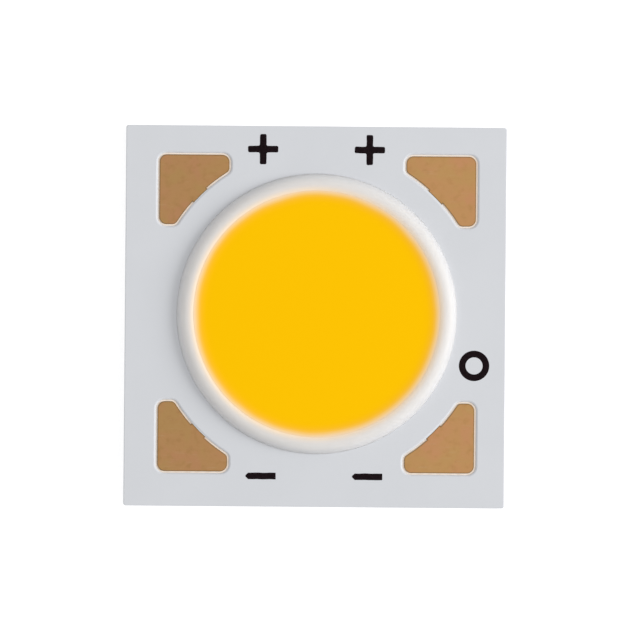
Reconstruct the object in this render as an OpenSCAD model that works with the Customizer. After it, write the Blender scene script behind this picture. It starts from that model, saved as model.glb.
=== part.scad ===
// Chip-on-board LED on a square metal-core board.
// Origin: middle of the board's underside, +Z towards the light-emitting face, plus pads towards +Y.

/* [Board] */
// Side of the square board
board_w = 19; // [18.4:0.1:22]
// Radius of the board's four corners
board_corner_r = 0.12; // [0.05:0.01:0.4]
// Thickness of the aluminium base plate
plate_t = 1; // [0.6:0.05:2]
// Thickness of the insulating laminate under the copper
laminate_t = 0.1; // [0.06:0.01:0.2]
// Thickness of the etched copper
copper_t = 0.035; // [0.018:0.001:0.07]
// Thickness of the solder mask where it covers copper
mask_cover_t = 0.035; // [0.02:0.005:0.06]

/* [Circuit] */
// How far the whole circuit sits to the right of the board's centre
circuit_shift_x = 0.08; // [-0.2:0.01:0.2]
// How far the whole circuit sits from the board's centre towards the plus edge
circuit_shift_y = 0.14; // [-0.2:0.01:0.2]
// Width of the curved bus that feeds the ends of the strings
bus_w = 1.1; // [0.8:0.05:1.3]
// Angle that each bus takes around the LED field
bus_span = 140; // [120:2:160]
// Width of the copper neck between a bus and its solder pad
neck_w = 0.95; // [0.5:0.05:1.2]

/* [Solder pads] */
// Margin between the board's edge and the straight edges of a pad, before the circuit's shift
pad_edge_margin = 1.6; // [1.4:0.05:1.8]
// Length of each straight edge of a pad
pad_leg = 3.48; // [3.2:0.02:3.7]
// Width of each narrow end of a pad
pad_end_w = 0.8; // [0.7:0.02:0.9]
// Radius of the pad's corner next to the board's corner
pad_corner_r = 0.36; // [0.2:0.02:0.6]
// Radius of the outer corner at each end of a pad
pad_end_r = 0.36; // [0.2:0.02:0.4]
// Radius where an end of a pad turns into its curved edge
pad_toe_r = 0.28; // [0.1:0.02:0.3]
// Strip of bare laminate between a pad and the solder mask around it
pad_clearance = 0.085; // [0.05:0.005:0.12]
// Thickness of the plated land on the exposed copper of a pad
land_t = 0.01; // [0.004:0.001:0.02]

/* [Dam and phosphor] */
// Outer diameter of the silicone dam's foot
dam_outer_d = 14; // [13.6:0.1:14.4]
// Width of the dam's foot
dam_w = 1.2; // [1:0.05:1.4]
// Height of the dam above the solder mask
dam_h = 0.5; // [0.45:0.01:0.6]
// How far the middle of the phosphor fill lies below the dam's crest
fill_drop = 0.1; // [0.06:0.01:0.15]
// How far the fill climbs where it wets the dam
fill_climb = 0.05; // [0.02:0.01:0.05]
// Width of the ring over which the fill climbs
fill_climb_w = 0.7; // [0.4:0.05:1]
// Step of the solder mask's window inside the dam's foot
mask_window_gap = 0.05; // [0.02:0.01:0.15]

/* [LED strings] */
// Number of strings side by side
string_count = 8; // [4:2:8]
// Distance between neighbouring strings
string_pitch = 1.1; // [0.9:0.05:1.14]
// Number of dies in each string
dies_per_string = 12; // [6:1:12]
// Length of a die along its string
die_l = 0.4; // [0.24:0.02:0.42]
// Width of a die across its string
die_w = 0.26; // [0.2:0.02:0.5]
// Height of a die
die_h = 0.12; // [0.1:0.01:0.2]
// Thickness of the adhesive under a die
die_attach_t = 0.015; // [0.01:0.001:0.03]
// Margin between the dies and the edge of the laminate's window
die_margin = 0.15; // [0.1:0.01:0.2]
// Bare copper left at the inner edge of each bus for the bond wires
bond_ledge = 0.25; // [0.2:0.01:0.3]
// Laminate left bare between its window and the bus
bus_setback = 0.15; // [0.1:0.01:0.25]
// Thickness of a gold bond wire
wire_d = 0.025; // [0.02:0.001:0.03]
// Height that a wire's loop rises above its feet
wire_loop_h = 0.15; // [0.12:0.01:0.2]
// Distance between a die's edge and the middle of a wire's foot on it
wire_inset = 0.06; // [0.05:0.005:0.08]

/* [Hidden] */
$fn = 96;
ARC_STEPS = 8;  // pieces that stand for a pad's rounded corner
WIRE_STEPS = 6;  // straight pieces of a wire's loop
CLIMB_STEPS = 7;  // cones that stand for the fill's raised rim

// Levels above the underside
laminate_z = plate_t;
copper_z = laminate_z + laminate_t;
copper_top = copper_z + copper_t;
mask_top = copper_top + mask_cover_t;
mask_t = mask_top - copper_z;
die_z = plate_t + die_attach_t;
die_top = die_z + die_h;
dam_top = mask_top + dam_h;
fill_top = dam_top - fill_drop;
fill_wall_z = fill_top + fill_climb;

// Radii around the circuit's centre, from the dam inwards
dam_outer_r = dam_outer_d / 2;
dam_inner_r = dam_outer_r - dam_w;
dam_crest_r = dam_outer_r - dam_w / 2;
mask_window_r = dam_inner_r - mask_window_gap;
bus_inner_r = mask_window_r - bond_ledge;
bond_r = mask_window_r - bond_ledge / 2;
laminate_window_r = bus_inner_r - bus_setback;
die_field_r = laminate_window_r - die_margin;

// The dam's section is a slice of a circle of this radius, centred this high
bead_r = (pow(dam_w / 2, 2) + pow(dam_h, 2)) / (2 * dam_h);
bead_z = dam_top - bead_r;
// Radius at which the fill meets the dam's inner slope
fill_wall_r = dam_crest_r - sqrt(pow(bead_r, 2) - pow(fill_wall_z - bead_z, 2));

// A pad's straight edges lie this far from the circuit's centre lines, and end this far from them
pad_reach = board_w / 2 - pad_edge_margin;
pad_inner = pad_reach - pad_leg;
// Its curved edge is concentric with the dam
pad_arc_r = norm([pad_inner, pad_reach - pad_end_w]);

PLATE_COLOR = [0.78, 0.8, 0.82];
LAMINATE_COLOR = [0.9, 0.88, 0.78];
COPPER_COLOR = [0.72, 0.45, 0.25];
LAND_COLOR = [0.7, 0.54, 0.36];
MASK_COLOR = [0.83, 0.84, 0.86];
DAM_COLOR = [0.93, 0.93, 0.92];
PHOSPHOR_COLOR = [1, 0.77, 0.03];
DIE_COLOR = [0.3, 0.5, 0.85];
GLUE_COLOR = [0.75, 0.76, 0.78];
WIRE_COLOR = [0.85, 0.65, 0.2];

STRINGS = [1:string_count];

// ---- Placing ----

// Moves a piece from the board's centre to the circuit's, at height z
module on_circuit(z = 0) {
    translate([circuit_shift_x, circuit_shift_y, z]) children();
}

// ---- Board ----

module board_outline() {
    straight = board_w - 2 * board_corner_r;
    square([board_w, straight], center = true);
    square([straight, board_w], center = true);
    for (x = [-1, 1], y = [-1, 1]) {
        translate([x, y] * straight / 2) circle(board_corner_r);
    }
}

module base_plate() {
    color(PLATE_COLOR) linear_extrude(plate_t) board_outline();
}

module laminate() {
    color(LAMINATE_COLOR) translate([0, 0, laminate_z]) linear_extrude(laminate_t) difference() {
        board_outline();
        on_circuit() circle(laminate_window_r);
    }
}

// ---- Circuit ----

// Points of an arc about c, from angle a0 to a1
function arc(c, r, a0, a1) = [
    for (i = [0:ARC_STEPS])
        let (a = a0 + (a1 - a0) * i / ARC_STEPS)
        c + r * [cos(a), sin(a)]
];

// Outline of the pad in the quarter where x and y are positive, grown by g on every side:
// a square corner piece whose inner side is cut by a circle about the circuit's centre
function pad_points(g = 0) =
    let (
        toe = pad_inner + pad_toe_r,
        toe_far = sqrt(pow(pad_arc_r + pad_toe_r, 2) - pow(toe, 2)),
        toe_angle = atan2(toe, toe_far),
        end_near = pad_inner + pad_end_r,
        end_far = pad_reach - pad_end_r,
        corner = pad_reach - pad_corner_r
    )
    concat(
        arc([toe_far, toe], pad_toe_r + g, toe_angle + 180, 270),
        arc([end_far, end_near], pad_end_r + g, -90, 0),
        arc([corner, corner], pad_corner_r + g, 0, 90),
        arc([end_near, end_far], pad_end_r + g, 90, 180),
        arc([toe, toe_far], pad_toe_r + g, 180, 270 - toe_angle),
        arc([0, 0], pad_arc_r - g, 90 - toe_angle, toe_angle)
    );

// The pad and the neck that leads into it, along one diagonal
module pad_and_neck() {
    polygon(pad_points());
    rotate(45) translate([dam_crest_r, -neck_w / 2]) square([pad_arc_r + pad_toe_r - dam_crest_r, neck_w]);
}

// One pole of the circuit, for the plus edge: the bus, two necks and two pads
module pole_copper() {
    rotate(90 - bus_span / 2) rotate_extrude(angle = bus_span) {
        translate([bus_inner_r, 0]) square([bus_w, copper_t]);
    }
    for (turn = [0, 90]) {
        rotate(turn) linear_extrude(copper_t) pad_and_neck();
    }
}

module positive_copper() {
    color(COPPER_COLOR) on_circuit(copper_z) pole_copper();
}

module negative_copper() {
    color(COPPER_COLOR) on_circuit(copper_z) rotate(180) pole_copper();
}

// The opening in the solder mask around a pad
module pad_opening() {
    polygon(pad_points(pad_clearance));
}

// Plating on the copper that shows in one opening, turned to its corner
module land(turn) {
    color(LAND_COLOR) on_circuit(copper_top) rotate(turn) linear_extrude(land_t) intersection() {
        pad_and_neck();
        pad_opening();
    }
}

module solder_mask() {
    color(MASK_COLOR) difference() {
        translate([0, 0, copper_z]) linear_extrude(mask_t) difference() {
            board_outline();
            on_circuit() circle(mask_window_r);
            for (turn = [0:90:270]) {
                on_circuit() rotate(turn) pad_opening();
            }
        }
        positive_copper();
        negative_copper();
    }
}

// ---- LED strings ----

// Each string runs from the minus bus to the plus bus along one chord of the field
function string_x(k) = (k - (string_count + 1) / 2) * string_pitch;
function chord(k) = 2 * sqrt(pow(die_field_r, 2) - pow(abs(string_x(k)) + die_w / 2, 2));
function die_y(k, i) = (i - (dies_per_string + 1) / 2) * chord(k) / dies_per_string;
function bond_y(k) = sqrt(pow(bond_r, 2) - pow(string_x(k), 2));

// A block of the die's size in plan at each place along a string
module along_string(k, z, h) {
    for (i = [1:dies_per_string]) {
        on_circuit(z) translate([string_x(k) - die_w / 2, die_y(k, i) - die_l / 2, 0]) cube([die_w, die_l, h]);
    }
}

module led_string(k) {
    color(DIE_COLOR) along_string(k, die_z, die_h);
}

module die_attach() {
    color(GLUE_COLOR) for (k = STRINGS) along_string(k, plate_t, die_attach_t);
}

// ---- Bond wires ----

// A foot is [distance along the string, level]. Wire i leaves die i and lands on die i + 1;
// the first leaves the minus bus and the last lands on the plus bus
function wire_start(k, i) =
    i == 0 ? [-bond_y(k), copper_top] : [die_y(k, i) + die_l / 2 - wire_inset, die_top];
function wire_end(k, i) =
    i == dies_per_string ? [bond_y(k), copper_top] : [die_y(k, i + 1) - die_l / 2 + wire_inset, die_top];

// Middle line of a wire's loop between two feet
function loop_line(a, b) = [
    for (i = [0:WIRE_STEPS])
        let (t = i / WIRE_STEPS)
        a + (b - a) * t + [0, 4 * wire_loop_h * t * (1 - t)]
];

function heading(a, b) = atan2(b[1] - a[1], b[0] - a[0]);

// One side of the wire: the middle line moved sideways, and cut level at both feet
function loop_side(line, side) = [
    for (i = [0:WIRE_STEPS])
        let (
            before = heading(line[max(i, 1) - 1], line[max(i, 1)]),
            after = heading(line[min(i, WIRE_STEPS - 1)], line[min(i, WIRE_STEPS - 1) + 1]),
            middle = (before + after) / 2,
            at_foot = i == 0 || i == WIRE_STEPS
        )
        line[i] + side * wire_d / 2 * (
            at_foot ? [-1 / sin(middle), 0] : [-sin(middle), cos(middle)] / cos((after - before) / 2)
        )
];

function reversed(list) = [for (i = [len(list) - 1:-1:0]) list[i]];

module bond_wire(a, b) {
    line = loop_line(a, b);
    rotate([90, 0, 90]) linear_extrude(wire_d, center = true) {
        polygon(concat(loop_side(line, 1), reversed(loop_side(line, -1))));
    }
}

module bond_wires(k) {
    color(WIRE_COLOR) for (i = [0:dies_per_string]) {
        on_circuit() translate([string_x(k), 0, 0]) bond_wire(wire_start(k, i), wire_end(k, i));
    }
}

// ---- Dam and phosphor ----

module dam_ring() {
    color(DAM_COLOR) on_circuit() rotate_extrude() intersection() {
        translate([dam_crest_r, bead_z]) circle(bead_r);
        translate([dam_inner_r, mask_top]) square([dam_w, dam_h]);
    }
}

// Level of the fill's surface: flat in the middle, curving up to the dam
function fill_level(r) =
    fill_top + fill_climb * pow(max(0, r - fill_wall_r + fill_climb_w) / fill_climb_w, 2);

// Everything inside the dam's crest, down to the plate, as a section
module fill_section() {
    rim = [
        for (i = [CLIMB_STEPS:-1:0])
            let (r = fill_wall_r - fill_climb_w + fill_climb_w * i / CLIMB_STEPS)
            [r, fill_level(r)]
    ];
    polygon(concat(
        [[0, plate_t], [laminate_window_r, plate_t], [laminate_window_r, copper_z]],
        [[mask_window_r, copper_z], [mask_window_r, mask_top], [dam_crest_r, mask_top]],
        [[dam_crest_r, fill_wall_z]],
        rim,
        [[0, fill_top]]
    ));
}

module phosphor_fill() {
    color(PHOSPHOR_COLOR) difference() {
        on_circuit() rotate_extrude() fill_section();
        dam_ring();
        positive_copper();
        negative_copper();
        die_attach();
        for (k = STRINGS) {
            led_string(k);
            bond_wires(k);
        }
    }
}

base_plate();
laminate();
positive_copper();
negative_copper();
solder_mask();
land(0);  // plus_land_right
land(90);  // plus_land_left
land(180);  // minus_land_left
land(270);  // minus_land_right
die_attach();
dam_ring();
phosphor_fill();
for (k = STRINGS) {
    led_string(k);
    bond_wires(k);
}
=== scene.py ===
"""Chip-on-board LED: finishes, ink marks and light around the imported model."""

import math

import bmesh
import bpy
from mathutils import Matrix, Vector, noise


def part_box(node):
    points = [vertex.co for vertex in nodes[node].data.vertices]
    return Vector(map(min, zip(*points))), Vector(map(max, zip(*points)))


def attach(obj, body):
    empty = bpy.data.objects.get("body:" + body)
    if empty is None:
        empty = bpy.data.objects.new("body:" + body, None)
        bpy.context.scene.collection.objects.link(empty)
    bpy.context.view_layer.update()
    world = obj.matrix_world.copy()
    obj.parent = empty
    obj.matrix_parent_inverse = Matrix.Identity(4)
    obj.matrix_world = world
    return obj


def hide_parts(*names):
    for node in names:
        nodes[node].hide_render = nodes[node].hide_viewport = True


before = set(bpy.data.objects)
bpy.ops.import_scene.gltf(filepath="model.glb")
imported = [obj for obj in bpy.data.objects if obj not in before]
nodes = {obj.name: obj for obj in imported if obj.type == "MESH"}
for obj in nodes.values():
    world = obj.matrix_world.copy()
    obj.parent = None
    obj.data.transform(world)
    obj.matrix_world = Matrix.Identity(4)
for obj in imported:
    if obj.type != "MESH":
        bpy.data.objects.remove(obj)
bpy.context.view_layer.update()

MM = 0.001
UM = 0.000001
BODY = "root"
WHITE = (1, 1, 1, 1)
MERGE_GAP = 0.5 * UM

# ---- Places taken from the imported model ----

board_low, board_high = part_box("base_plate")
dam_low, dam_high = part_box("dam_ring")
mask_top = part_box("solder_mask")[1].z
circuit = (dam_low + dam_high) / 2
dam_outer_r = (dam_high.x - dam_low.x) / 2
dam_h = dam_high.z - mask_top
board_w = board_high.x - board_low.x

# ---- Making materials ----


class Finish:
    """A material whose node tree is written down one node at a time."""

    def __init__(self, name):
        self.material = bpy.data.materials.new(name)
        self.material.use_nodes = True
        self.tree = self.material.node_tree
        self.surface = self.tree.nodes["Principled BSDF"]
        self.output = self.tree.nodes["Material Output"]

    def node(self, kind, inputs=None, out=0, **settings):
        """Adds a node, fills its inputs with values or sockets, and returns one of its outputs."""
        made = self.tree.nodes.new(kind)
        for key, value in settings.items():
            setattr(made, key, value)
        for key, value in (inputs or {}).items():
            self.fill(made.inputs[key], value)
        return made.outputs[out]

    def fill(self, socket, value):
        if isinstance(value, bpy.types.NodeSocket):
            self.tree.links.new(value, socket)
        else:
            socket.default_value = value

    def set(self, **values):
        """Fills the surface's own inputs; an underscore in a name stands for a space."""
        for key, value in values.items():
            self.fill(self.surface.inputs[key.replace("_", " ")], value)

    def place(self, centre=(0, 0, 0), turn=0.0, stretch=(1, 1, 1)):
        """Object coordinates counted from a centre, turned about Z, then stretched."""
        here = self.node("ShaderNodeTexCoord", out="Object")
        moved = self.node("ShaderNodeVectorMath", {0: here, 1: centre}, operation="SUBTRACT")
        inputs = {"Vector": moved, "Rotation": (0, 0, turn), "Scale": stretch}
        return self.node("ShaderNodeMapping", inputs)

    def noise(self, where, grain, detail=2.0, roughness=0.5, warp=0.0):
        """Smooth noise whose features are about one grain across."""
        inputs = {
            "Vector": where,
            "Scale": 1 / grain,
            "Detail": detail,
            "Roughness": roughness,
            "Distortion": warp,
        }
        return self.node("ShaderNodeTexNoise", inputs, noise_dimensions="3D")

    def math(self, operation, a, b=0.0, clamp=False):
        return self.node("ShaderNodeMath", {0: a, 1: b}, operation=operation, use_clamp=clamp)

    def window(self, value, low, high):
        """Spreads the part of a value between low and high over 0 to 1."""
        return self.node("ShaderNodeMapRange", {"Value": value, "From Min": low, "From Max": high})

    def ramp(self, value, stops, ease="EASE"):
        """A colour ramp from a list of (place, colour)."""
        made = self.tree.nodes.new("ShaderNodeValToRGB")
        self.tree.links.new(value, made.inputs["Fac"])
        made.color_ramp.interpolation = ease
        elements = made.color_ramp.elements
        while len(elements) < len(stops):
            elements.new(0.5)
        for element, (place, colour) in zip(elements, stops):
            element.position = place
            element.color = (*colour, 1)
        return made.outputs["Color"]

    def mix(self, share, a, b, blend="MIX"):
        """A mix of two colours; share 0 gives the first."""
        made = self.tree.nodes.new("ShaderNodeMix")
        made.data_type = "RGBA"
        made.blend_type = blend
        for socket, value in zip((made.inputs[0], made.inputs[6], made.inputs[7]), (share, a, b)):
            self.fill(socket, (*value, 1) if isinstance(value, tuple) else value)
        return made.outputs[2]

    def bump(self, height, depth, below=None):
        """Turns a height of 0 to 1 into a normal; depth is the real height of 1."""
        inputs = {"Height": height, "Distance": depth, "Strength": 1.0}
        if below is not None:
            inputs["Normal"] = below
        return self.node("ShaderNodeBump", inputs)


# ---- Finishes ----


def mask_finish():
    """White solder mask: cool white ink with a satin skin, faint clouds and a fine orange peel."""
    finish = Finish("white solder mask")
    where = finish.place()
    clouds = finish.noise(where, 2.6 * MM, detail=3)
    peel = finish.noise(where, 0.16 * MM, detail=2)
    colour = finish.ramp(clouds, [(0.3, (0.651, 0.665, 0.694)), (0.7, (0.663, 0.677, 0.706))])
    finish.set(
        Base_Color=colour,
        Roughness=finish.window(peel, -0.9, 1.9),
        Specular_IOR_Level=0.3,
        Normal=finish.bump(peel, 1.2 * UM),
    )
    return finish.material


CLOTH_PITCH = 1.6 * MM


def laminate_finish():
    """Resin laminate: warm cream with the weave of its glass cloth."""
    finish = Finish("glass cloth laminate")
    cloth = {"Vector": finish.place(), "Scale": 1 / CLOTH_PITCH, "Distortion": 1.5}
    weave_x = finish.node("ShaderNodeTexWave", cloth, out="Fac")
    weave_y = finish.node("ShaderNodeTexWave", cloth, out="Fac", bands_direction="Y")
    weave = finish.math("MULTIPLY", weave_x, weave_y)
    finish.set(
        Base_Color=finish.mix(weave, (0.94, 0.84, 0.74), (0.88, 0.77, 0.66)),
        Roughness=0.5,
        Specular_IOR_Level=0.3,
        Normal=finish.bump(weave, 1.0 * UM),
    )
    return finish.material


def copper_finish():
    """Etched copper: brown-orange, with small stains."""
    finish = Finish("etched copper")
    stains = finish.noise(finish.place(), 0.4 * MM, detail=4)
    finish.set(
        Base_Color=finish.ramp(stains, [(0.35, (0.26, 0.11, 0.04)), (0.65, (0.42, 0.21, 0.09))]),
        Metallic=1.0,
        Roughness=finish.window(stains, -0.3, 1.3),
        Normal=finish.bump(stains, 1.5 * UM),
    )
    return finish.material


LAND_FADE = 6 * MM
SCUFF_SHARE = 0.25
RIM_AND_SHADE_SHARE = 0.9


def land_finish():
    """Plated copper land: gold-brown with greener and pinker clouds, scuffs and fine scratches.

    Its rim is darker, partly its own tone and partly painted shade where the land meets the mask,
    and the lands on the right of the board are a little paler.
    """
    finish = Finish("plated land")
    where = finish.place()
    clouds = finish.noise(where, 1.3 * MM, detail=2, warp=0.6)
    blotches = finish.noise(where, 0.38 * MM, detail=3)
    tone = finish.ramp(
        clouds,
        [
            (0.36, (0.385, 0.224, 0.084)),
            (0.50, (0.398, 0.217, 0.088)),
            (0.64, (0.410, 0.210, 0.095)),
        ],
    )
    tone = finish.mix(finish.window(blotches, 0.52, 0.72), tone, (0.365, 0.203, 0.078))
    across = finish.node("ShaderNodeSeparateXYZ", {0: where}, out="X")
    across = finish.window(across, -LAND_FADE, LAND_FADE)
    tone = finish.mix(across, tone, (1.19, 1.17, 1.17), blend="MULTIPLY")
    long_grain = finish.place(turn=math.radians(28), stretch=(1, 9, 1))
    scratches = finish.noise(long_grain, 0.9 * MM, detail=4, roughness=0.7)
    scuff = finish.window(scratches, 0.60, 0.72)
    tone = finish.mix(finish.math("MULTIPLY", scuff, SCUFF_SHARE), tone, (0.52, 0.37, 0.22))
    # The rim's dark tone is partly painted shade where the land meets the mask.
    rim = finish.node("ShaderNodeAttribute", {}, out="Fac", attribute_name="rim")
    tone = finish.mix(finish.math("MULTIPLY", rim, RIM_AND_SHADE_SHARE), tone, (0.145, 0.098, 0.038))
    finish.set(
        Base_Color=tone,
        Metallic=0.85,
        Roughness=finish.window(blotches, -0.6, 1.5),
        Normal=finish.bump(scratches, 2.5 * UM),
    )
    return finish.material


def plate_finish():
    """Aluminium plate: rolled face, and sheared edges with a torn lower band."""
    finish = Finish("rolled aluminium")
    rolled = finish.noise(finish.place(stretch=(1, 22, 1)), 0.8 * MM, detail=5, roughness=0.65)
    sheared = finish.noise(finish.place(stretch=(1, 1, 0.12)), 0.07 * MM, detail=4, roughness=0.7)
    upright = finish.node("ShaderNodeNewGeometry", out="Normal")
    side = finish.math("ABSOLUTE", finish.node("ShaderNodeSeparateXYZ", {0: upright}, out="Z"))
    grain = finish.mix(side, sheared, rolled)
    finish.set(
        Base_Color=finish.ramp(grain, [(0.3, (0.40, 0.41, 0.43)), (0.7, (0.56, 0.57, 0.59))]),
        Metallic=1.0,
        Roughness=finish.window(grain, -0.6, 1.9),
        Normal=finish.bump(grain, 4 * UM),
    )
    return finish.material


def from_circuit_centre(finish):
    """Distance from the circuit's centre line, in metres."""
    where = finish.place(centre=(circuit.x, circuit.y, 0), stretch=(1, 1, 0))
    return finish.node("ShaderNodeVectorMath", {0: where}, out="Value", operation="LENGTH")


# Distances from the circuit's centre line over which the colour and the glow change; the colour
# holds painted shade on the outer slope and painted light at the foot.
DAM_TONE_AND_SHADE = (6.1 * MM, 7.0 * MM)
DAM_GLOW = (6.05 * MM, 6.6 * MM)
GLOW_SHARE = 0.5
GLOW_DEPTH = 0.9 * MM


def dam_finish():
    """White silicone: translucent and smooth, warm by the phosphor, darker on its outer slope as
    painted shade and paler at the foot as painted light that lifts the dark crease.
    """
    finish = Finish("white silicone")
    radius = from_circuit_centre(finish)
    ripple = finish.noise(finish.place(), 0.5 * MM, detail=2)
    # Painted shade darkens the outer slope, and painted light makes the foot paler against the dark
    # crease there.
    colour = finish.ramp(
        finish.window(radius, *DAM_TONE_AND_SHADE),
        [
            (0.10, (0.99, 0.80, 0.60)),
            (0.21, (0.88, 0.755, 0.63)),
            (0.32, (0.81, 0.74, 0.68)),
            (0.44, (0.77, 0.735, 0.705)),
            (0.65, (0.745, 0.725, 0.707)),
            (0.82, (0.715, 0.702, 0.70)),
            (0.92, (0.73, 0.717, 0.715)),
            (1.00, (0.81, 0.80, 0.79)),
        ],
    )
    glow = finish.math("MULTIPLY", finish.window(radius, *DAM_GLOW), GLOW_SHARE)
    finish.set(
        Base_Color=colour,
        Roughness=finish.window(ripple, -0.4, 1.6),
        Specular_IOR_Level=0.2,
        Subsurface_Weight=glow,
        Subsurface_Radius=(1.0, 0.95, 0.9),
        Subsurface_Scale=GLOW_DEPTH,
        Normal=finish.bump(ripple, 2 * UM),
    )
    return finish.material


# Distances from the circuit's centre line over which the colour changes, and how far it strays.
PHOSPHOR_FADE = (5.2 * MM, 6.2 * MM)
PHOSPHOR_DRIFT = 0.16 * MM
SPECKLE_SHARE = 0.08


def phosphor_finish():
    """Phosphor in silicone: deep yellow, orange where it shallows and pale where it thins."""
    finish = Finish("yellow phosphor")
    where = finish.place()
    grain = finish.noise(where, 0.05 * MM, detail=3, roughness=0.7)
    drift = finish.math("SUBTRACT", finish.noise(where, 2.2 * MM, detail=2), 0.5)
    drift = finish.math("MULTIPLY", drift, PHOSPHOR_DRIFT)
    radius = finish.math("ADD", from_circuit_centre(finish), drift)
    outward = finish.window(radius, *PHOSPHOR_FADE)
    colour = finish.ramp(
        outward,
        [
            (0.05, (1.0, 0.555, 0.0008)),
            (0.35, (1.0, 0.545, 0.002)),
            (0.50, (1.0, 0.535, 0.009)),
            (0.60, (0.995, 0.53, 0.022)),
            (0.70, (0.98, 0.55, 0.065)),
            (0.80, (0.97, 0.61, 0.19)),
            (0.90, (0.95, 0.665, 0.355)),
            (0.98, (0.93, 0.71, 0.47)),
        ],
        ease="LINEAR",
    )
    speckle = finish.window(grain, 0.62, 0.80)
    colour = finish.mix(finish.math("MULTIPLY", speckle, SPECKLE_SHARE), colour, (0.95, 0.42, 0.0))
    finish.set(
        Base_Color=colour,
        Roughness=0.6,
        Specular_IOR_Level=0.01,
        Normal=finish.bump(grain, 1.5 * UM),
    )
    return finish.material


def ink_finish():
    """Black marking ink: brown-black, with fine clouds and a dull skin."""
    finish = Finish("marking ink")
    grain = finish.noise(finish.place(), 0.09 * MM, detail=3)
    black = finish.ramp(grain, [(0.35, (0.006, 0.003, 0.004)), (0.75, (0.014, 0.007, 0.009))])
    finish.set(
        Base_Color=black,
        Roughness=finish.window(grain, -0.8, 1.4),
        Specular_IOR_Level=0.04,
        Normal=finish.bump(grain, 1.5 * UM),
    )
    return finish.material


def die_finish():
    """Sapphire chip: blue, with a faint mesa pattern."""
    finish = Finish("sapphire chip")
    cells = {"Vector": finish.place(), "Scale": 1 / (0.08 * MM)}
    mesa = finish.node("ShaderNodeTexVoronoi", cells, out="Distance")
    finish.set(
        Base_Color=finish.ramp(mesa, [(0.2, (0.10, 0.25, 0.70)), (0.8, (0.25, 0.45, 0.85))]),
        Roughness=0.15,
        Normal=finish.bump(mesa, 1.0 * UM),
    )
    return finish.material


def adhesive_finish():
    """Cured die adhesive: clear resin gone milky."""
    finish = Finish("die adhesive")
    haze = finish.noise(finish.place(), 0.05 * MM, detail=3)
    finish.set(
        Base_Color=finish.ramp(haze, [(0.3, (0.55, 0.56, 0.58)), (0.7, (0.75, 0.75, 0.74))]),
        Roughness=0.35,
        Normal=finish.bump(haze, 1.0 * UM),
    )
    return finish.material


def wire_finish():
    """Drawn gold wire."""
    finish = Finish("gold wire")
    draw = finish.noise(finish.place(stretch=(1, 0.2, 1)), 0.01 * MM, detail=2)
    finish.set(
        Base_Color=finish.ramp(draw, [(0.3, (0.75, 0.48, 0.13)), (0.7, (0.90, 0.62, 0.20))]),
        Metallic=1.0,
        Roughness=0.25,
        Normal=finish.bump(draw, 0.5 * UM),
    )
    return finish.material


def dress(node, material):
    """Gives a carried-over CAD node its finish."""
    mesh = nodes[node].data
    mesh.materials.clear()
    mesh.materials.append(material)


# ---- Making pieces ----


def add_piece(name, mesh, material, slot, *stands_for):
    """Puts a finished mesh in the scene, on the board's body."""
    piece = bpy.data.objects.new(name, mesh)
    bpy.context.scene.collection.objects.link(piece)
    mesh.materials.clear()
    mesh.materials.append(material)
    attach(piece, BODY)
    if stands_for:
        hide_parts(*stands_for)
    return piece


def merged_copy(node):
    """A bmesh of a CAD node with its loose triangles joined and its flat faces made whole."""
    work = bmesh.new()
    work.from_mesh(nodes[node].data)
    bmesh.ops.remove_doubles(work, verts=work.verts, dist=MERGE_GAP)
    bmesh.ops.dissolve_limit(
        work,
        angle_limit=math.radians(1),
        verts=work.verts,
        edges=work.edges,
        use_dissolve_boundaries=False,
    )
    return work


def top_edges(work, level):
    """The edges that run round a level face and drop down a wall."""
    near = 1 * UM
    found = []
    for edge in work.edges:
        if len(edge.link_faces) != 2:
            continue
        if any(abs(v.co.z - level) > near for v in edge.verts):
            continue
        steepness = sorted(abs(face.normal.z) for face in edge.link_faces)
        if steepness[0] < 0.1 and steepness[1] > 0.9:
            found.append(edge)
    return found


def finish_mesh(work, name, smooth_below=40, flat=()):
    """Makes a mesh with soft shading across shallow edges; the flat faces keep their own normal."""
    for face in work.faces:
        face.smooth = True
    for face in flat:
        face.smooth = False
    crease = math.radians(smooth_below)
    for edge in work.edges:
        edge.smooth = len(edge.link_faces) == 2 and edge.calc_face_angle(math.pi) < crease
    mesh = bpy.data.meshes.new(name)
    work.to_mesh(mesh)
    work.free()
    return mesh


def inset_ring(work, faces, width):
    """Draws faces in from their outline by a width; returns the vertices left on the outline."""
    strip = bmesh.ops.inset_region(
        work, faces=faces, thickness=width, use_boundary=True, use_even_offset=True
    )
    inner = {v for face in faces for v in face.verts}
    return {v for face in strip["faces"] for v in face.verts} - inner


# Rings drawn in from an outline: how wide each is and how far its outer line drops.
MASK_TAPER = ((30 * UM, 56 * UM), (30 * UM, 30 * UM), (40 * UM, 11 * UM))
OUTLINE_DROP = 14 * UM
THINNEST_MASK = 5 * UM
WALL_H = 30 * UM
BOARD_MARGIN = 0.3 * MM


def mask_skin(material):
    """The solder mask, thinning towards its pad openings the way printed ink does."""
    work = merged_copy("solder_mask")
    top = [f for f in work.faces if f.normal.z > 0.9 and f.calc_center_median().z > mask_top - UM]
    openings_reach = board_w / 2 - BOARD_MARGIN
    for width, drop in MASK_TAPER:
        lowered = mask_top - drop
        ring = inset_ring(work, top, width)
        feet = [(v, min(edge.other_vert(v).co.z for edge in v.link_edges)) for v in ring]
        for v, foot in feet:
            in_opening = max(abs(v.co.x), abs(v.co.y)) < openings_reach
            on_outline = foot < mask_top - WALL_H
            if in_opening:
                v.co.z = max(lowered, foot + THINNEST_MASK) if on_outline else lowered
            elif on_outline:
                v.co.z = mask_top - OUTLINE_DROP
    mesh = finish_mesh(work, "mask_skin", 60, top)
    return add_piece("mask_skin", mesh, material, "mask", "solder_mask")


# As for the mask, with how dark each ring's outer line is; the darkness is partly the rim's own
# tone and partly painted shade where the land meets the mask.
LAND_RIM = ((10 * UM, 5 * UM, 1.0), (20 * UM, 1 * UM, 0.9), (25 * UM, 0.0, 0.6))


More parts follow.
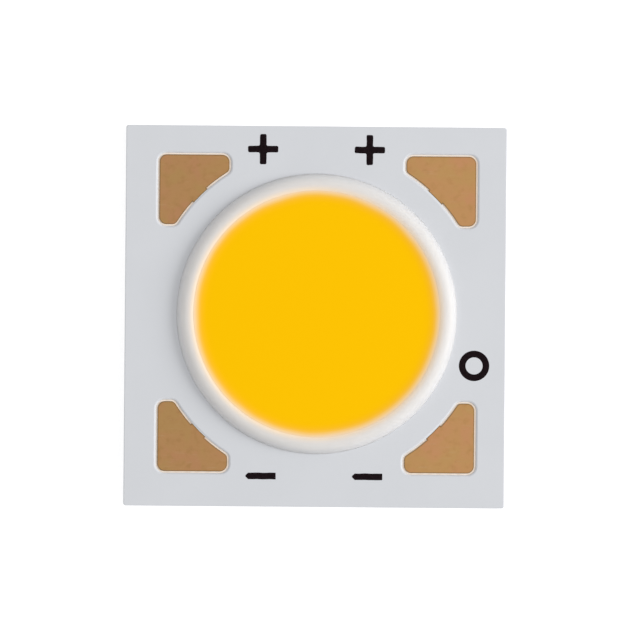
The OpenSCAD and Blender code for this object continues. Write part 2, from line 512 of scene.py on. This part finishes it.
def land_plate(node, material):
    """A plated land whose etched rim rolls down and is marked for its darker tone, which is partly
    painted shade.
    """
    work = merged_copy(node)
    face = max((f for f in work.faces if f.normal.z > 0.9), key=lambda f: f.calc_area())
    rim = work.verts.layers.float.new("rim")
    for width, drop, mark in LAND_RIM:
        for v in inset_ring(work, [face], width):
            v.co.z -= drop
            v[rim] = mark
    name = node + "_plate"
    return add_piece(name, finish_mesh(work, name, 60, [face]), material, "land", node)


# ---- Ink marks ----

INK_H = 9 * UM
INK_SEED = 7
noise.seed_set(INK_SEED)


def rounded(points, radius, steps=5):
    """A closed outline with each corner, whichever way it turns, replaced by an arc."""
    outline = []
    for i, corner in enumerate(points):
        before = (points[i - 1] - corner).normalized()
        after = (points[(i + 1) % len(points)] - corner).normalized()
        half = before.angle(after) / 2
        reach = radius / math.tan(half)
        centre = corner + (before + after).normalized() * radius / math.sin(half)
        start = corner + before * reach - centre
        sweep = math.pi - 2 * half
        turn = 1 if before.cross(after) < 0 else -1
        for k in range(steps + 1):
            a = turn * sweep * k / steps
            cos, sin = math.cos(a), math.sin(a)
            spin = Vector((start.x * cos - start.y * sin, start.x * sin + start.y * cos))
            outline.append(centre + spin)
    return outline


def printed(outline, step=50 * UM, waver=14 * UM, grain=0.3 * MM):
    """The outline walked in short steps, each moved a little, as ink creeps under a stencil."""
    walked = []
    for i, start in enumerate(outline):
        way = outline[(i + 1) % len(outline)] - start
        count = max(1, round(way.length / step))
        walked += [start + way * k / count for k in range(count)]
    return [p + noise.noise_vector(Vector((p.x, p.y, 0)) / grain).xy * waver for p in walked]


def ink_patch(name, outline, material):
    """A patch of ink with a rolled edge, lying on the mask."""
    work = bmesh.new()
    base = [work.verts.new((p.x, p.y, mask_top)) for p in printed(outline)]
    floor = work.faces.new(base)
    if floor.normal.z < 0:
        floor.normal_flip()
    lifted = bmesh.ops.extrude_face_region(work, geom=[floor])["geom"]
    for v in (g for g in lifted if isinstance(g, bmesh.types.BMVert)):
        v.co.z = mask_top + INK_H
    bmesh.ops.recalc_face_normals(work, faces=work.faces)
    rim = top_edges(work, mask_top + INK_H)
    bmesh.ops.bevel(work, geom=rim, offset=INK_H * 0.9, segments=2, profile=0.5, affect="EDGES")
    return add_piece(name, finish_mesh(work, name), material, "ink")


def plus_points(x, y, length, width):
    """Corners of a plus sign, counter-clockwise."""
    far, near = length / 2, width / 2
    quarter = [(near, near), (near, far), (-near, far)]
    corners = []
    for k in range(4):
        for px, py in quarter:
            for _ in range(k):
                px, py = -py, px
            corners.append(Vector((x + px, y + py)))
    return corners


def bar_points(x, y, length, width, nib):
    """Corners of a minus sign whose left end narrows to a blunt nib, counter-clockwise."""
    far, near = length / 2, width / 2
    blunt = 0.2 * near
    corners = [
        (-far + nib, -near),
        (far, -near),
        (far, near),
        (-far + nib, near),
        (-far, blunt),
        (-far, -blunt),
    ]
    return [Vector((x + px, y + py)) for px, py in corners]


def geometry_tree(name, inputs):
    """A Geometry Nodes tree with named inputs; returns it with its input and output nodes."""
    tree = bpy.data.node_groups.new(name, "GeometryNodeTree")
    for label, kind in inputs:
        tree.interface.new_socket(label, in_out="INPUT", socket_type=kind)
    tree.interface.new_socket("Geometry", in_out="OUTPUT", socket_type="NodeSocketGeometry")
    return tree, tree.nodes.new("NodeGroupInput"), tree.nodes.new("NodeGroupOutput")


def grow(tree, values, name):
    """Runs a Geometry Nodes tree with these inputs and returns the plain mesh."""
    holder = bpy.data.objects.new(name + "_growth", bpy.data.meshes.new(name + "_growth"))
    bpy.context.scene.collection.objects.link(holder)
    growth = holder.modifiers.new("growth", "NODES")
    growth.node_group = tree
    for item in tree.interface.items_tree:
        if item.in_out == "INPUT" and item.name in values:
            growth[item.identifier] = values[item.name]
    bpy.context.view_layer.update()
    ready = holder.evaluated_get(bpy.context.evaluated_depsgraph_get())
    mesh = bpy.data.meshes.new_from_object(ready)
    mesh.name = name
    bpy.data.objects.remove(holder)
    return mesh


def tree_node(tree, kind, inputs=None, **settings):
    """Adds a node to a Geometry Nodes tree and fills its inputs with values or sockets."""
    made = tree.nodes.new(kind)
    for key, value in settings.items():
        setattr(made, key, value)
    for key, value in (inputs or {}).items():
        if isinstance(value, bpy.types.NodeSocket):
            tree.links.new(value, made.inputs[key])
        else:
            made.inputs[key].default_value = value
    return made


BEAD_STEPS = 256
SECTION_POINTS = 20
WANDERS_PER_METRE = 260.0


def bead_tree():
    """A bead laid round a circle: an arc section swept along it, with a height that wanders."""
    number, vector = "NodeSocketFloat", "NodeSocketVector"
    tree, given, result = geometry_tree(
        "laid bead",
        [
            ("Centre", vector),
            ("Path radius", number),
            ("Bead width", number),
            ("Bead height", number),
            ("Unevenness", number),
            ("Finish", "NodeSocketMaterial"),
        ],
    )
    socket = given.outputs
    ring = {"Resolution": BEAD_STEPS, "Radius": socket["Path radius"]}
    path = tree_node(tree, "GeometryNodeCurvePrimitiveCircle", ring)

    def scaled(value, factor):
        product = tree_node(tree, "ShaderNodeMath", {0: value, 1: factor}, operation="MULTIPLY")
        return product.outputs[0]

    def point(x, y):
        return tree_node(tree, "ShaderNodeCombineXYZ", {"X": x, "Y": y}).outputs[0]

    half = scaled(socket["Bead width"], 0.5)
    section = tree_node(
        tree,
        "GeometryNodeCurveArc",
        {
            "Resolution": SECTION_POINTS,
            "Start": point(scaled(half, -1), 0.0),
            "Middle": point(0.0, scaled(socket["Bead height"], -1)),
            "End": point(half, 0.0),
        },
        mode="POINTS",
    )
    sweep = tree_node(
        tree,
        "GeometryNodeCurveToMesh",
        {
            "Curve": path.outputs["Curve"],
            "Profile Curve": section.outputs["Curve"],
            "Fill Caps": False,
        },
    )
    position = tree_node(tree, "GeometryNodeInputPosition")
    waves = {"Vector": position.outputs[0], "Scale": WANDERS_PER_METRE, "Detail": 1.0}
    wander = tree_node(tree, "ShaderNodeTexNoise", waves)
    rise = tree_node(tree, "ShaderNodeSeparateXYZ", {0: position.outputs[0]})
    share = tree_node(
        tree, "ShaderNodeMath", {0: rise.outputs["Z"], 1: socket["Bead height"]}, operation="DIVIDE"
    )
    drop = scaled(scaled(wander.outputs[0], socket["Unevenness"]), share.outputs[0])
    lowered = tree_node(
        tree,
        "GeometryNodeSetPosition",
        {
            "Geometry": sweep.outputs["Mesh"],
            "Offset": tree_node(tree, "ShaderNodeCombineXYZ", {"Z": scaled(drop, -1)}).outputs[0],
        },
    )
    moved = tree_node(
        tree,
        "GeometryNodeTransform",
        {"Geometry": lowered.outputs[0], "Translation": socket["Centre"]},
    )
    smooth = tree_node(tree, "GeometryNodeSetShadeSmooth", {"Geometry": moved.outputs[0]})
    real = tree_node(tree, "GeometryNodeRealizeInstances", {"Geometry": smooth.outputs[0]})
    coated = tree_node(
        tree, "GeometryNodeSetMaterial", {"Geometry": real.outputs[0], "Material": socket["Finish"]}
    )
    tree.links.new(coated.outputs[0], result.inputs[0])
    return tree


def face_outwards(mesh):
    """Closes the open underside of a swept bead and points its faces outwards."""
    work = bmesh.new()
    work.from_mesh(mesh)
    bmesh.ops.remove_doubles(work, verts=work.verts, dist=MERGE_GAP)
    rims = [e for e in work.edges if e.is_boundary]
    if rims:
        bmesh.ops.bridge_loops(work, edges=rims)
    bmesh.ops.recalc_face_normals(work, faces=work.faces)
    for face in work.faces:
        face.smooth = True
    for edge in work.edges:
        edge.smooth = len(edge.link_faces) == 2 and edge.calc_face_angle(math.pi) < math.radians(50)
    work.to_mesh(mesh)
    work.free()
    return mesh


# ---- Dressing the nodes ----

mask = mask_finish()
silicone = dam_finish()
ink = ink_finish()
land = land_finish()

dress("base_plate", plate_finish())
dress("laminate", laminate_finish())
dress("phosphor_fill", phosphor_finish())
dress("die_attach", adhesive_finish())
copper = copper_finish()
for pole in ("positive_copper", "negative_copper"):
    dress(pole, copper)
chip, gold = die_finish(), wire_finish()
for name in nodes:
    if name.startswith("led_string"):
        dress(name, chip)
    if name.startswith("bond_wires"):
        dress(name, gold)

mask_skin(mask)
for name in ("plus_land_left", "plus_land_right", "minus_land_left", "minus_land_right"):
    land_plate(name, land)

BEAD = bead_tree()
DAM_W = 1.2 * MM
DAM_UNEVENNESS = 12 * UM
dam_inputs = {
    "Centre": (circuit.x, circuit.y, mask_top),
    "Path radius": dam_outer_r - DAM_W / 2,
    "Bead width": DAM_W,
    "Bead height": dam_h,
    "Unevenness": DAM_UNEVENNESS,
    "Finish": silicone,
}
dam_mesh = face_outwards(grow(BEAD, dam_inputs, "silicone_dam"))
add_piece("silicone_dam", dam_mesh, silicone, "dam", "dam_ring")

# ---- Printing the marks ----

SIGN_X = 2.66 * MM
PLUS_Y = 8.34 * MM
MINUS_Y = -7.97 * MM
SIGN_L = 1.51 * MM
STROKE_W = 0.33 * MM
NIB_L = 0.14 * MM
PLUS_CORNER_R = 0.075 * MM
MINUS_CORNER_R = 0.02 * MM
RING_PLACE = (7.95 * MM, -2.39 * MM)
RING_OUTER_D = 1.52 * MM
RING_INNER_D = 0.85 * MM

for side, x in (("left", -SIGN_X), ("right", SIGN_X)):
    plus = rounded(plus_points(x, PLUS_Y, SIGN_L, STROKE_W), PLUS_CORNER_R)
    ink_patch("plus_sign_" + side, plus, ink)
    minus = rounded(bar_points(x, MINUS_Y, SIGN_L, STROKE_W, NIB_L), MINUS_CORNER_R)
    ink_patch("minus_sign_" + side, minus, ink)

ring_w = (RING_OUTER_D - RING_INNER_D) / 2
ring_inputs = {
    "Centre": (*RING_PLACE, mask_top),
    "Path radius": RING_OUTER_D / 2 - ring_w / 2,
    "Bead width": ring_w,
    "Bead height": INK_H,
    "Unevenness": 0.0,
    "Finish": ink,
}
ring_mesh = face_outwards(grow(BEAD, ring_inputs, "ring_mark"))
add_piece("ring_mark", ring_mesh, ink, "ink")

# ---- Floor, light and camera ----


def backdrop_light(tree, seen, unseen):
    """Mixes a shader for what an eye or a reflection sees with one for the light that spreads."""
    path = tree.nodes.new("ShaderNodeLightPath")
    total = path.outputs["Is Camera Ray"]
    for ray in ("Is Glossy Ray", "Is Transmission Ray"):
        plus = tree.nodes.new("ShaderNodeMath")
        plus.operation = "ADD"
        plus.use_clamp = True
        tree.links.new(total, plus.inputs[0])
        tree.links.new(path.outputs[ray], plus.inputs[1])
        total = plus.outputs[0]
    mixer = tree.nodes.new("ShaderNodeMixShader")
    tree.links.new(total, mixer.inputs[0])
    tree.links.new(unseen, mixer.inputs[1])
    tree.links.new(seen, mixer.inputs[2])
    return mixer.outputs[0]


AMBIENT = 0.68
FLOOR_GLOW = 0.55
FLOOR_REACH = 3.0
FLOOR_GAP = 5 * UM
KEY_W = 1.85
KEY_ELEVATION = 26
KEY_DISTANCE = 0.5
KEY_SIZE = 0.3


def make_world():
    world = bpy.data.worlds.new("studio")
    bpy.context.scene.world = world
    world.use_nodes = True
    tree = world.node_tree
    tree.nodes.clear()
    output = tree.nodes.new("ShaderNodeOutputWorld")
    seen = tree.nodes.new("ShaderNodeBackground")
    seen.inputs["Color"].default_value = WHITE
    spread = tree.nodes.new("ShaderNodeBackground")
    spread.inputs["Color"].default_value = WHITE
    spread.inputs["Strength"].default_value = AMBIENT
    sky = backdrop_light(tree, seen.outputs[0], spread.outputs[0])
    tree.links.new(sky, output.inputs["Surface"])


def make_floor():
    far, level = FLOOR_REACH, board_low.z - FLOOR_GAP
    mesh = bpy.data.meshes.new("table_top")
    corners = [(-far, -far, level), (far, -far, level), (far, far, level), (-far, far, level)]
    mesh.from_pydata(corners, [], [(0, 1, 2, 3)])
    floor = bpy.data.objects.new("table_top", mesh)
    bpy.context.scene.collection.objects.link(floor)
    finish = Finish("white table")
    soft = finish.noise(finish.place(), 40 * MM, detail=2)
    finish.set(
        Base_Color=finish.ramp(soft, [(0.3, (0.79, 0.79, 0.79)), (0.7, (0.81, 0.81, 0.81))]),
        Roughness=1.0,
        Specular_IOR_Level=0.0,
    )
    glow = finish.node("ShaderNodeEmission", {"Color": WHITE, "Strength": FLOOR_GLOW})
    lifted = finish.node("ShaderNodeAddShader", {0: finish.surface.outputs[0], 1: glow})
    lit = backdrop_light(finish.tree, lifted, finish.surface.outputs[0])
    finish.tree.links.new(lit, finish.output.inputs["Surface"])
    mesh.materials.append(finish.material)


def make_key_light():
    data = bpy.data.lights.new("key", "AREA")
    data.shape = "DISK"
    data.size = KEY_SIZE
    data.energy = KEY_W
    key = bpy.data.objects.new("key", data)
    bpy.context.scene.collection.objects.link(key)
    a = math.radians(KEY_ELEVATION)
    key.location = (KEY_DISTANCE * math.cos(a), 0, KEY_DISTANCE * math.sin(a))
    key.rotation_euler = key.location.to_track_quat("Z", "Y").to_euler()
    key.visible_camera = False


SENSOR_W = 36
VIEW_W = 31.94 * MM
VIEW_HEIGHT = 0.8
VIEW_SHIFT = (0.243 * MM, -0.163 * MM)
VIEW_TURN = math.radians(0.48)


def make_camera():
    data = bpy.data.cameras.new("camera")
    data.sensor_width = SENSOR_W
    data.lens = data.sensor_width * VIEW_HEIGHT / VIEW_W
    data.clip_start = 0.01
    data.clip_end = 10
    camera = bpy.data.objects.new("camera", data)
    bpy.context.scene.collection.objects.link(camera)
    camera.location = (*VIEW_SHIFT, mask_top + VIEW_HEIGHT)
    camera.rotation_euler = (0, 0, VIEW_TURN)
    bpy.context.scene.camera = camera


make_world()
make_floor()
make_key_light()
make_camera()
bpy.context.scene.view_settings.view_transform = "Standard"
